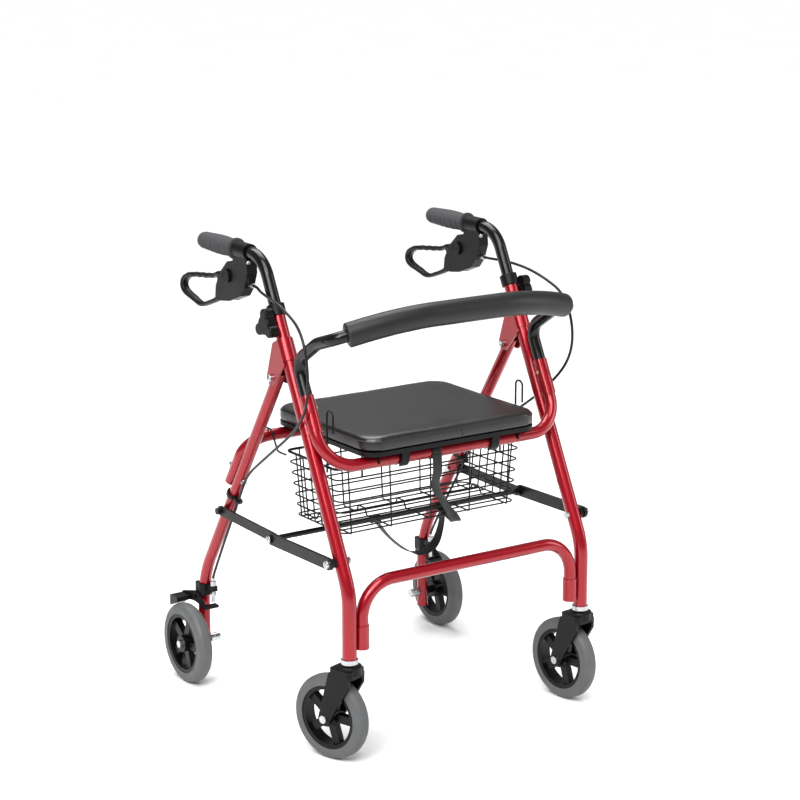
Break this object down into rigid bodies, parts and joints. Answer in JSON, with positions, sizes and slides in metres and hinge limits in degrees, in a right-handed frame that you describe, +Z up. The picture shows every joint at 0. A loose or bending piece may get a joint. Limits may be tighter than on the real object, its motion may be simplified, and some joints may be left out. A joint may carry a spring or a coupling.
{
  "type": "rollator walker",
  "caption": "Folding four-wheeled walking frame with brake handles, flip-up padded seat, foam backrest bow and wire basket.",
  "frame": {"origin": "On the floor, midway between front and back and between the two sides.", "axes": "+Z up, the user walks toward -Y, +X is the user's left."},
  "size_m": [0.6186, 0.6177, 0.8675],
  "materials": {
    "red_paint": "gloss metallic lacquer",
    "black_paint": "gloss",
    "black_plastic": "fine grain",
    "grey_foam": "closed cell foam",
    "grip_rubber": "soft matt",
    "tyre_grey": "solid tyre, matt",
    "hub_plastic": "moulded",
    "steel": "zinc plated",
    "brass": "plain",
    "seat_vinyl": "coated woven cloth",
    "brace_paint": "satin",
    "wire_paint": "plastic dipped wire",
    "webbing": "woven webbing",
    "cable_sheath": "smooth"
  },
  "bodies": {
    "front_frame": {"front_leg_left": "red_paint", "front_leg_right": "red_paint", "front_arch": "red_paint", "seat_front_bar": "red_paint", "tube_sockets": "red_paint", "pivot_brackets": "red_paint", "backrest_tube": "black_paint", "backrest_foam": "grey_foam", "leg_collars": "black_plastic", "front_bolts": "steel", "brace_spacers": "black_plastic", "caster_bearings": "steel", "brake_cables_middle": "cable_sheath"},
    "rear_frame": {"rear_leg_left": "red_paint", "rear_leg_right": "red_paint", "seat_rear_bar": "red_paint", "rear_bolts": "steel", "rear_axles": "steel", "brake_brackets": "black_plastic", "brake_adjusters": "steel", "brake_cables_lower": "cable_sheath", "basket_rests": "wire_paint"},
    "front_links": {"front_braces": "brace_paint", "brace_rod": "brace_paint", "pull_strap": "webbing"},
    "rear_links": {"rear_braces": "brace_paint"},
    "seat": {"seat_base": "black_plastic", "seat_cushion": "seat_vinyl"},
    "basket": {"basket_ends": "wire_paint", "basket_sides": "wire_paint", "basket_floor": "wire_paint", "basket_hooks": "wire_paint"},
    "handle_left": {"handle_tube_left": "black_paint", "grip_left": "grip_rubber", "brake_housing_left": "black_plastic", "brake_cable_upper_left": "cable_sheath"},
    "lever_left": {"brake_lever_left": "black_plastic"},
    "knob_left": {"height_knob_left": "black_plastic"},
    "button_left": {"socket_button_left": "brass"},
    "rear_brake_left": {"rear_brake_arm_left": "black_plastic"},
    "rear_wheel_left": {"rear_tyre_left": "tyre_grey", "rear_hub_left": "hub_plastic"},
    "caster_left": {"caster_fork_left": "black_plastic"},
    "caster_wheel_left": {"caster_tyre_left": "tyre_grey", "caster_hub_left": "hub_plastic"},
    "handle_right": {"handle_tube_right": "black_paint", "grip_right": "grip_rubber", "brake_housing_right": "black_plastic", "brake_cable_upper_right": "cable_sheath"},
    "lever_right": {"brake_lever_right": "black_plastic"},
    "knob_right": {"height_knob_right": "black_plastic"},
    "button_right": {"socket_button_right": "brass"},
    "rear_brake_right": {"rear_brake_arm_right": "black_plastic"},
    "rear_wheel_right": {"rear_tyre_right": "tyre_grey", "rear_hub_right": "hub_plastic"},
    "caster_right": {"caster_fork_right": "black_plastic"},
    "caster_wheel_right": {"caster_tyre_right": "tyre_grey", "caster_hub_right": "hub_plastic"}
  },
  "joints": [
    {"name": "fold", "type": "hinge", "parent": "front_frame", "child": "rear_frame", "pos_m": [0, -0.04923, 0.6415], "axis": [-1, 0, 0], "range_deg": [0, 30], "deforming": ["brake_cables_middle", "pull_strap"]},
    {"name": "front_brace_pivot", "type": "hinge", "parent": "front_frame", "child": "front_links", "pos_m": [0, -0.24557, 0.356], "axis": [-1, 0, 0], "range_deg": [-0.5, 68.17]},
    {"name": "rear_brace_pivot", "type": "hinge", "parent": "front_links", "child": "rear_links", "pos_m": [0, -0.056, 0.3525], "axis": [1, 0, 0], "range_deg": [-0.5, 107.55]},
    {"name": "seat_flip", "type": "hinge", "parent": "front_frame", "child": "seat", "pos_m": [0, -0.19878, 0.507], "axis": [1, 0, 0], "range_deg": [0, 80]},
    {"name": "basket_tilt", "type": "hinge", "parent": "front_frame", "child": "basket", "pos_m": [0, -0.19878, 0.507], "axis": [-1, 0, 0], "range_deg": [-0.5, 15.5]},
    {"name": "handle_left_height", "type": "slide", "parent": "front_frame", "child": "handle_left", "axis": [0, 0.4462, 0.8949], "range_m": [-0.045, 0.06], "deforming": ["brake_cable_upper_left"]},
    {"name": "lever_left_squeeze", "type": "hinge", "parent": "handle_left", "child": "lever_left", "pos_m": [0.252, 0.1055, 0.798], "axis": [1, 0, 0], "range_deg": [0, 14], "stiffness_Nm_per_rad": 2},
    {"name": "knob_left_turn", "type": "hinge", "parent": "front_frame", "child": "knob_left", "pos_m": [0.252, -0.05511, 0.738], "axis": [1, 0, 0], "continuous": true},
    {"name": "button_left_press", "type": "slide", "parent": "front_frame", "child": "button_left", "axis": [1, 0, 0], "range_m": [0, 0.0045], "stiffness_N_per_m": 1200},
    {"name": "rear_brake_left_swing", "type": "hinge", "parent": "rear_frame", "child": "rear_brake_left", "pos_m": [0.252, 0.235, 0.166], "axis": [1, 0, 0], "range_deg": [-2.9, 0.1]},
    {"name": "rear_wheel_left_spin", "type": "hinge", "parent": "rear_frame", "child": "rear_wheel_left", "pos_m": [0.289, 0.235, 0.076], "axis": [1, 0, 0], "continuous": true},
    {"name": "caster_left_swivel", "type": "hinge", "parent": "front_frame", "child": "caster_left", "pos_m": [0.252, -0.2705, 0.178], "axis": [0, 0, 1], "continuous": true},
    {"name": "caster_wheel_left_spin", "type": "hinge", "parent": "caster_left", "child": "caster_wheel_left", "pos_m": [0.24782, -0.23072, 0.076], "axis": [0.9945, 0.1045, 0], "continuous": true},
    {"name": "handle_right_height", "type": "slide", "parent": "front_frame", "child": "handle_right", "axis": [0, 0.4462, 0.8949], "range_m": [-0.045, 0.06], "deforming": ["brake_cable_upper_right"]},
    {"name": "lever_right_squeeze", "type": "hinge", "parent": "handle_right", "child": "lever_right", "pos_m": [-0.252, 0.1055, 0.798], "axis": [1, 0, 0], "range_deg": [0, 14], "stiffness_Nm_per_rad": 2},
    {"name": "knob_right_turn", "type": "hinge", "parent": "front_frame", "child": "knob_right", "pos_m": [-0.252, -0.05511, 0.738], "axis": [1, 0, 0], "continuous": true},
    {"name": "button_right_press", "type": "slide", "parent": "front_frame", "child": "button_right", "axis": [-1, 0, 0], "range_m": [0, 0.0045], "stiffness_N_per_m": 1200},
    {"name": "rear_brake_right_swing", "type": "hinge", "parent": "rear_frame", "child": "rear_brake_right", "pos_m": [-0.252, 0.235, 0.166], "axis": [1, 0, 0], "range_deg": [-2.9, 0.1]},
    {"name": "rear_wheel_right_spin", "type": "hinge", "parent": "rear_frame", "child": "rear_wheel_right", "pos_m": [-0.289, 0.235, 0.076], "axis": [1, 0, 0], "continuous": true},
    {"name": "caster_right_swivel", "type": "hinge", "parent": "front_frame", "child": "caster_right", "pos_m": [-0.252, -0.2705, 0.178], "axis": [0, 0, 1], "continuous": true},
    {"name": "caster_wheel_right_spin", "type": "hinge", "parent": "caster_right", "child": "caster_wheel_right", "pos_m": [-0.26436, -0.23246, 0.076], "axis": [0.9511, 0.309, 0], "continuous": true}
  ],
  "couplings": [
    {"joint": "front_brace_pivot", "follows": "fold", "ratio": 2.2556},
    {"joint": "rear_brace_pivot", "follows": "fold", "ratio": 3.5685},
    {"joint": "basket_tilt", "follows": "fold", "ratio": 0.5},
    {"joint": "rear_brake_left_swing", "follows": "lever_left_squeeze", "ratio": -0.2},
    {"joint": "rear_brake_right_swing", "follows": "lever_right_squeeze", "ratio": -0.2}
  ]
}
